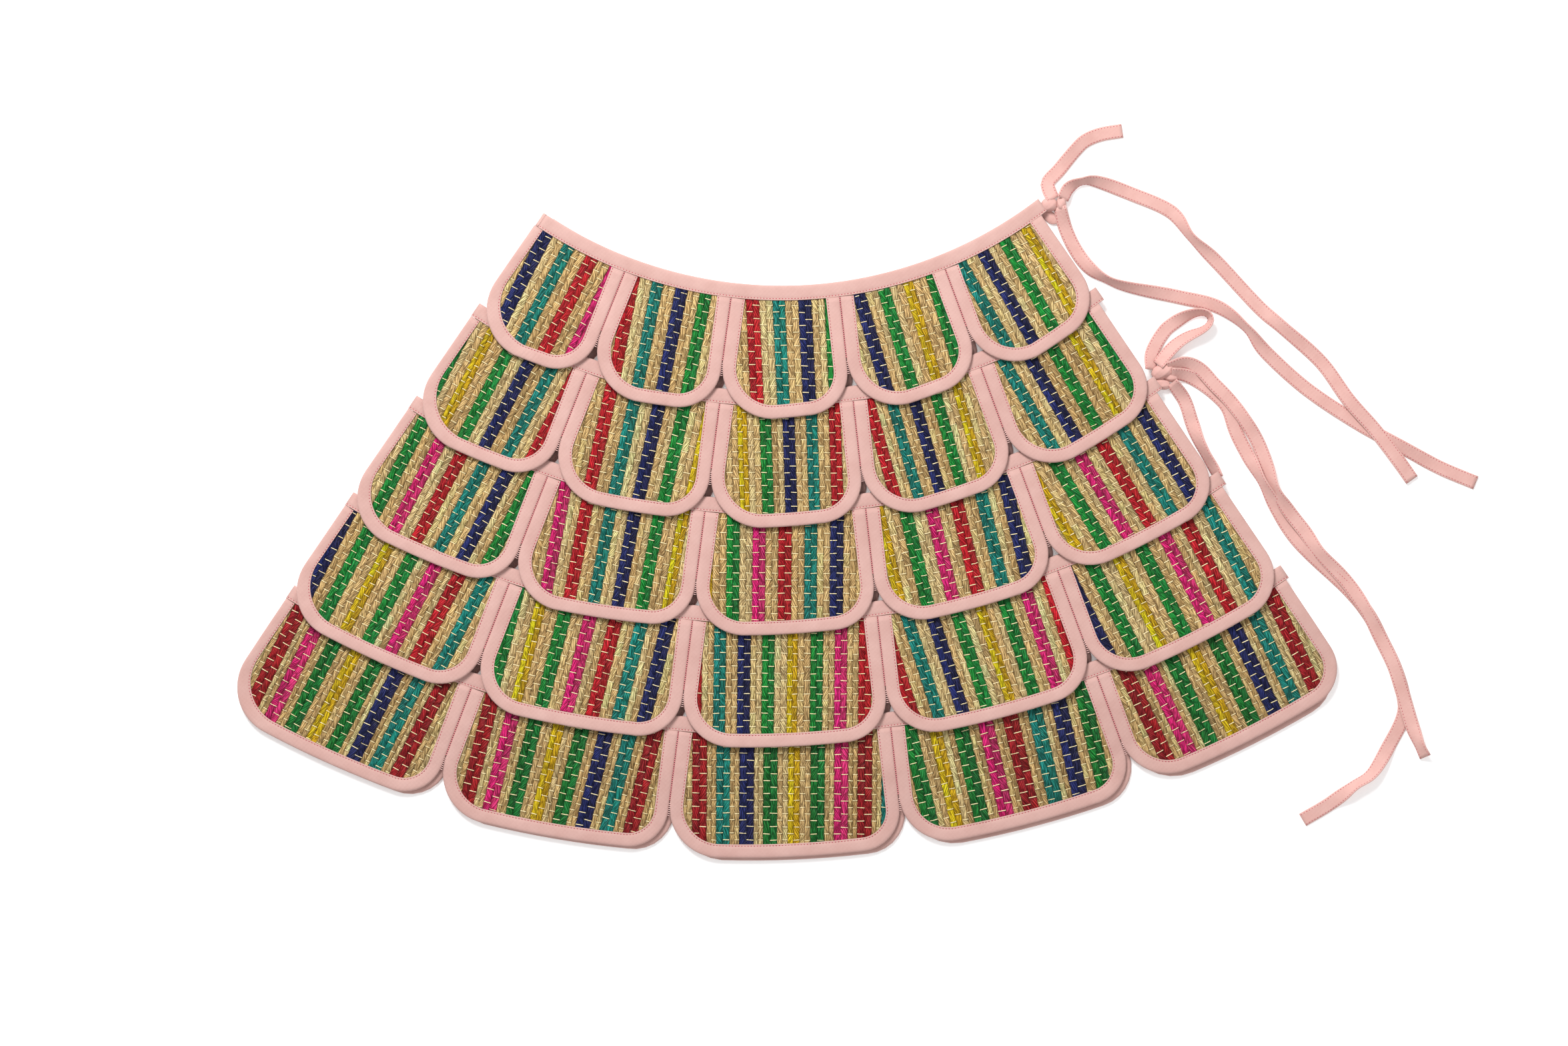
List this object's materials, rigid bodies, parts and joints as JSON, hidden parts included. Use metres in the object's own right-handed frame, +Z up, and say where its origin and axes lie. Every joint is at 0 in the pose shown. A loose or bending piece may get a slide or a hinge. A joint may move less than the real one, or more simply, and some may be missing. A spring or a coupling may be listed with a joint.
{
  "type": "skirt",
  "caption": "Short tiered wrap skirt of striped straw mat scallops bound in cotton tape, with ribbon ties, laid flat.",
  "frame": {"origin": "on the flat underside, in the middle panel of the third back tier, on the fan's middle line", "axes": "+X to the right across the skirt, +Y towards the waist, +Z up from the surface it lies on, out of the front"},
  "size_m": [0.8741, 0.5187, 0.0143],
  "materials": {
    "straw_mat": "bundles of split straw, natural and dyed in stripes, caught down by cream thread; soft sheen along the fibres",
    "cotton_binding": "matte plain-woven cotton tape, folded over the edges and stitched",
    "cotton_ribbon": "matte plain-woven cotton strip, edges turned and stitched"
  },
  "bodies": {
    "root": {"waistband_front": "cotton_binding", "binding_t1": "cotton_binding", "mat_t1_p1": "straw_mat", "mat_t1_p2": "straw_mat", "mat_t1_p3": "straw_mat", "mat_t1_p4": "straw_mat", "mat_t1_p5": "straw_mat", "waistband_back": "cotton_binding", "back_t1": "straw_mat", "band_front_t2": "cotton_binding", "binding_t2": "cotton_binding", "mat_t2_p1": "straw_mat", "mat_t2_p2": "straw_mat", "mat_t2_p3": "straw_mat", "mat_t2_p4": "straw_mat", "mat_t2_p5": "straw_mat", "band_back_t2": "cotton_binding", "back_t2": "straw_mat", "band_front_t3": "cotton_binding", "binding_t3": "cotton_binding", "mat_t3_p1": "straw_mat", "mat_t3_p2": "straw_mat", "mat_t3_p3": "straw_mat", "mat_t3_p4": "straw_mat", "mat_t3_p5": "straw_mat", "band_back_t3": "cotton_binding", "back_t3": "straw_mat", "band_front_t4": "cotton_binding", "binding_t4": "cotton_binding", "mat_t4_p1": "straw_mat", "mat_t4_p2": "straw_mat", "mat_t4_p3": "straw_mat", "mat_t4_p4": "straw_mat", "mat_t4_p5": "straw_mat", "band_back_t4": "cotton_binding", "back_t4": "straw_mat", "band_front_t5": "cotton_binding", "binding_t5": "cotton_binding", "mat_t5_p1": "straw_mat", "mat_t5_p2": "straw_mat", "mat_t5_p3": "straw_mat", "mat_t5_p4": "straw_mat", "mat_t5_p5": "straw_mat", "band_back_t5": "cotton_binding", "back_t5": "straw_mat", "tie_knot_upper": "cotton_ribbon", "tie_knot_lower": "cotton_ribbon", "tie_short_tail": "cotton_ribbon", "tie_long_upper": "cotton_ribbon", "tie_long_lower": "cotton_ribbon", "tie_bow_loop": "cotton_ribbon", "tie_upper_strand": "cotton_ribbon", "tie_lower_strand": "cotton_ribbon", "tie_tucked_strand": "cotton_ribbon"}
  },
  "joints": []
}
